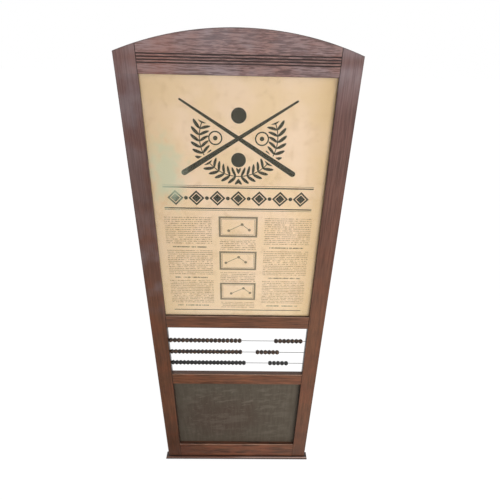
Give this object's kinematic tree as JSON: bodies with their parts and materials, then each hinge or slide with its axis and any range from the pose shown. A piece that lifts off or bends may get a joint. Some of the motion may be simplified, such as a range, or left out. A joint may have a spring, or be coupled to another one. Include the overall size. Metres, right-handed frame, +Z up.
{
  "type": "billiards scoreboard",
  "caption": "Tall arched wooden scoreboard with a framed sheet behind glass, counting beads that slide on wires across an open window, a blackboard and a projecting foot.",
  "frame": {"origin": "on the floor under the middle of the foot board", "axes": "+Z up, the front faces -Y, +X to the right of someone who looks at the front"},
  "size_m": [0.621, 0.029, 1.648],
  "materials": {
    "stained_wood": "dark red-brown stain under worn shellac",
    "thin_wood": "bare, aged",
    "clear_glass": "clear",
    "printed_paper": "aged, matte",
    "painted_board": "matte black paint, chalky",
    "bead_wood": "black stain, satin",
    "steel": "dull, aged",
    "brass": "aged, satin"
  },
  "bodies": {
    "frame": {"left_stile": "stained_wood", "right_stile": "stained_wood", "crest_rail": "stained_wood", "poster_rail": "stained_wood", "slate_rail": "stained_wood", "bottom_rail": "stained_wood", "foot_board": "stained_wood", "poster_backing": "thin_wood", "strip_top": "thin_wood", "strip_bottom": "thin_wood", "strip_left": "thin_wood", "strip_right": "thin_wood", "poster_glass": "clear_glass", "poster_sheet": "printed_paper", "blackboard": "painted_board", "top_wire": "steel", "middle_wire": "steel", "bottom_wire": "steel", "foot_screws": "steel", "strip_pins": "steel", "blackboard_screws": "steel", "left_hanging_plate": "brass", "right_hanging_plate": "brass", "hanging_plate_screws": "brass"},
    "top_stock": {"top_stock_beads": "bead_wood"},
    "top_scored": {"top_scored_beads": "bead_wood"},
    "top_end": {"top_end_bead": "bead_wood"},
    "middle_stock": {"middle_stock_beads": "bead_wood"},
    "middle_scored": {"middle_scored_beads": "bead_wood"},
    "middle_end": {"middle_end_bead": "bead_wood"},
    "bottom_stock": {"bottom_stock_beads": "bead_wood"},
    "bottom_scored": {"bottom_scored_beads": "bead_wood"},
    "bottom_end": {"bottom_end_bead": "bead_wood"}
  },
  "joints": [
    {"name": "top_stock_slide", "type": "slide", "parent": "frame", "child": "top_stock", "axis": [1, 0, 0], "range_m": [0, 0.11675]},
    {"name": "top_scored_slide", "type": "slide", "parent": "frame", "child": "top_scored", "axis": [1, 0, 0], "range_m": [-0.11675, 0.0116]},
    {"name": "top_end_slide", "type": "slide", "parent": "top_scored", "child": "top_end", "axis": [-1, 0, 0], "range_m": [-0.0116, 0]},
    {"name": "middle_stock_slide", "type": "slide", "parent": "frame", "child": "middle_stock", "axis": [1, 0, 0], "range_m": [0, 0.0493]},
    {"name": "middle_scored_slide", "type": "slide", "parent": "frame", "child": "middle_scored", "axis": [1, 0, 0], "range_m": [-0.0493, 0.0927]},
    {"name": "middle_end_slide", "type": "slide", "parent": "middle_scored", "child": "middle_end", "axis": [-1, 0, 0], "range_m": [-0.0927, 0]},
    {"name": "bottom_stock_slide", "type": "slide", "parent": "frame", "child": "bottom_stock", "axis": [1, 0, 0], "range_m": [0, 0.0839]},
    {"name": "bottom_scored_slide", "type": "slide", "parent": "frame", "child": "bottom_scored", "axis": [1, 0, 0], "range_m": [-0.0839, 0.0562]},
    {"name": "bottom_end_slide", "type": "slide", "parent": "bottom_scored", "child": "bottom_end", "axis": [-1, 0, 0], "range_m": [-0.0562, 0]}
  ]
}
